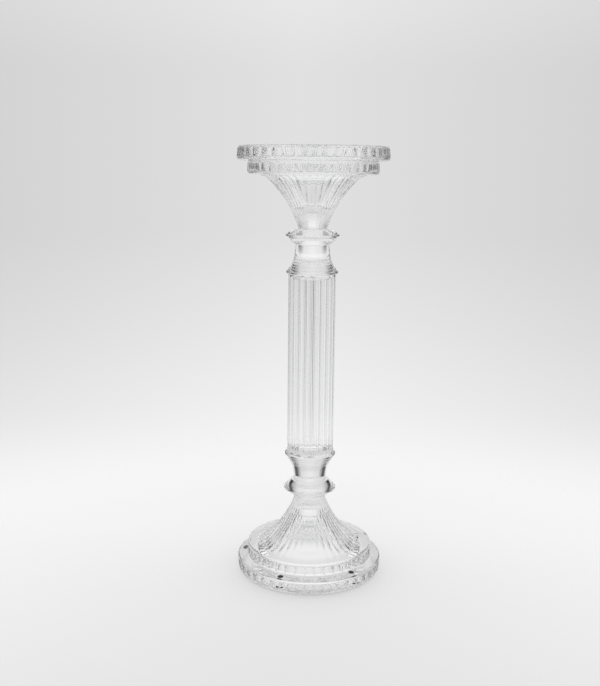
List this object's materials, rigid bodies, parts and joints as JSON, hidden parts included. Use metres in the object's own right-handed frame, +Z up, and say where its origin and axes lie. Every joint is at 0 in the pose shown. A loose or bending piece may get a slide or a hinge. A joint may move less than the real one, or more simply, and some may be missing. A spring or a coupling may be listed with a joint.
{
  "type": "glass column candlestick",
  "caption": "Clear pressed-glass candlestick: stepped fluted base and matching candle plate, fluted bells, ringed knop connectors and a tall fluted column.",
  "frame": {"origin": "centre of the footprint, on the table under the bumpers", "axes": "+Z up along the candlestick's axis; -Y is the front; the flutes repeat around Z"},
  "size_m": [0.1034, 0.1034, 0.3],
  "materials": {
    "clear_glass": "fire-polished, clear, faintly wavy",
    "clear_adhesive": "clear UV-cured adhesive film",
    "black_rubber": "matt black"
  },
  "bodies": {
    "root": {"base_pressing": "clear_glass", "lower_knop_bond": "clear_adhesive", "lower_connector": "clear_glass", "lower_column_bond": "clear_adhesive", "column": "clear_glass", "upper_column_bond": "clear_adhesive", "upper_connector": "clear_glass", "upper_knop_bond": "clear_adhesive", "plate_pressing": "clear_glass", "bumpers": "black_rubber"}
  },
  "joints": []
}
